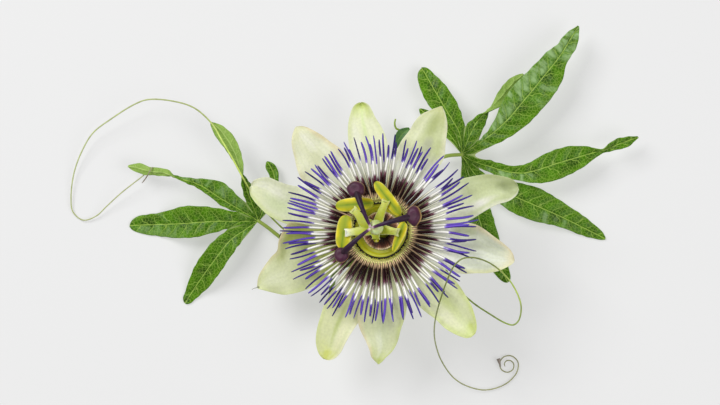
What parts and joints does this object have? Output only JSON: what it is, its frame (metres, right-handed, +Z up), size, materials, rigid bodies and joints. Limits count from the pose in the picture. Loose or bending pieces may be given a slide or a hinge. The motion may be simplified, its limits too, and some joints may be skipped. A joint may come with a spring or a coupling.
{
  "type": "passion flower",
  "caption": "Open passion flower lying on a cut piece of vine, with a banded filament corona, lobed leaves and long coiling tendrils.",
  "frame": {"origin": "on the surface that the sprig lies on, under the middle of its bounding box", "axes": "+X along the longest extent, from the left leaf to the right leaf; +Y towards the shoot tip; +Z up, the way the bloom faces"},
  "size_m": [0.2094, 0.1344, 0.0446],
  "materials": {
    "stem": "satin",
    "leaf": "satin",
    "tendril": "satin",
    "shoot_tip": "satin",
    "floral_cup": "satin",
    "limen_ring": "satin",
    "corona_fringe": "matte",
    "corona": "satin",
    "column": "satin",
    "ovary": "satin",
    "bract": "satin",
    "sepal": "satin",
    "petal": "satin",
    "anther": "matte",
    "style": "satin"
  },
  "bodies": {
    "root": {"stem": "stem", "flower_stalk": "stem", "leaf_left": "leaf", "leaf_right": "leaf", "tendril_left": "tendril", "tendril_right": "tendril", "shoot_tip": "shoot_tip", "floral_cup": "floral_cup", "limen_ring": "limen_ring", "corona_fringe": "corona_fringe", "corona": "corona", "column": "column", "ovary": "ovary", "bract_1": "bract", "bract_2": "bract", "bract_3": "bract", "sepal_1": "sepal", "sepal_2": "sepal", "sepal_3": "sepal", "sepal_4": "sepal", "sepal_5": "sepal", "petal_1": "petal", "petal_2": "petal", "petal_3": "petal", "petal_4": "petal", "petal_5": "petal", "anther_1": "anther", "anther_2": "anther", "anther_3": "anther", "anther_4": "anther", "anther_5": "anther", "style_1": "style", "style_2": "style", "style_3": "style"}
  },
  "joints": []
}
